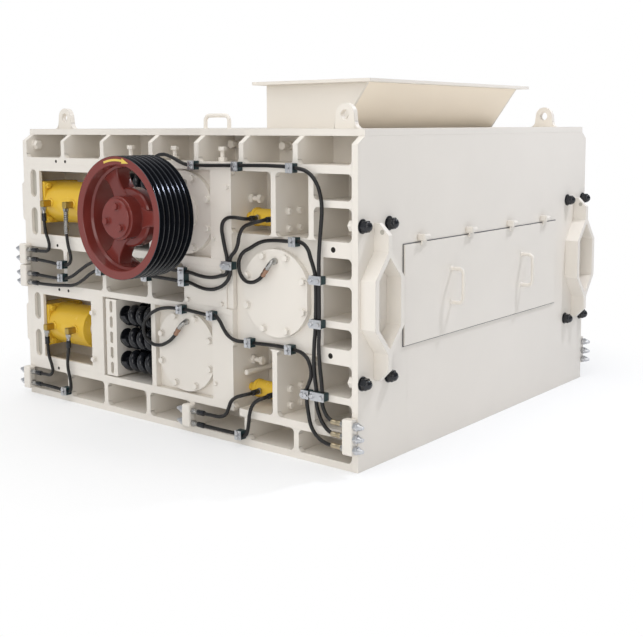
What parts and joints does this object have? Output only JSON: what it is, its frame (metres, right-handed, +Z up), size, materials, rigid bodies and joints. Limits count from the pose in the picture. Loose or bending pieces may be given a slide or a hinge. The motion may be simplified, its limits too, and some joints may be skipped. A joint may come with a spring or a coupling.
{
  "type": "three-roll crusher",
  "caption": "Ribbed steel housing with a fixed roll and two sliding rolls held by springs and hydraulic cylinders, a feed hopper on top and an inspection door.",
  "frame": {"origin": "on the floor, in the middle of the overall box", "axes": "+X towards the inspection door, -Y towards the front end frame with the upper roll's pulley, +Z up"},
  "size_m": [2.1956, 2.764, 1.545],
  "materials": {
    "cream_paint": "semi-gloss cream enamel",
    "yellow_paint": "gloss yellow enamel",
    "red_brown_paint": "satin red-brown primer paint",
    "black_steel": "satin black",
    "roll_steel": "turned, dull",
    "hose_rubber": "dull black rubber",
    "clamp_plastic": "satin dark moulded plastic"
  },
  "bodies": {
    "root": {"left_wall": "cream_paint", "right_wall_posts": "cream_paint", "right_wall_beams": "cream_paint", "deck_sides": "cream_paint", "deck_ends": "cream_paint", "hopper_sides": "cream_paint", "hopper_ends": "cream_paint", "hopper_rim": "cream_paint", "lifting_lugs": "cream_paint", "deck_handles": "cream_paint", "front_shelves": "cream_paint", "rear_shelves": "cream_paint", "front_ribs": "cream_paint", "rear_ribs": "cream_paint", "front_back_plate": "cream_paint", "rear_back_plate": "cream_paint", "bay_posts": "cream_paint", "bay_rails": "cream_paint", "stop_columns": "cream_paint", "fixed_bearings": "cream_paint", "fixed_covers": "cream_paint", "main_cylinders": "yellow_paint", "return_cylinders": "yellow_paint", "wall_brackets": "cream_paint", "hinge_lugs": "cream_paint", "front_hoses": "hose_rubber", "rear_hoses": "hose_rubber", "hose_clamps": "clamp_plastic", "bulkhead_blocks": "cream_paint"},
    "door": {"door": "cream_paint", "door_handles": "cream_paint"},
    "upper_carriage": {"upper_blocks": "cream_paint", "upper_covers": "cream_paint", "upper_yokes": "cream_paint", "upper_springs": "black_steel"},
    "lower_carriage": {"lower_blocks": "cream_paint", "lower_covers": "cream_paint", "lower_yokes": "cream_paint", "lower_springs": "black_steel"},
    "upper_roll": {"upper_roll": "roll_steel", "upper_pulley": "red_brown_paint"},
    "lower_roll": {"lower_roll": "roll_steel", "lower_pulley": "red_brown_paint"},
    "middle_roll": {"middle_roll": "roll_steel", "middle_pulley": "red_brown_paint"}
  },
  "joints": [
    {"name": "upper_slide", "type": "slide", "parent": "root", "child": "upper_carriage", "axis": [-1, 0, 0], "range_m": [0, 0.015]},
    {"name": "lower_slide", "type": "slide", "parent": "root", "child": "lower_carriage", "axis": [-1, 0, 0], "range_m": [0, 0.015]},
    {"name": "upper_spin", "type": "hinge", "parent": "upper_carriage", "child": "upper_roll", "pos_m": [0.07315, 0, 0.978], "axis": [0, 1, 0], "continuous": true},
    {"name": "lower_spin", "type": "hinge", "parent": "lower_carriage", "child": "lower_roll", "pos_m": [0.07315, 0, 0.362], "axis": [0, 1, 0], "continuous": true},
    {"name": "middle_spin", "type": "hinge", "parent": "root", "child": "middle_roll", "pos_m": [0.60084, 0, 0.67], "axis": [0, 1, 0], "continuous": true},
    {"name": "door_hinge", "type": "hinge", "parent": "root", "child": "door", "pos_m": [1.05184, 0, 0.895], "axis": [0, -1, 0], "range_deg": [0, 110]}
  ]
}
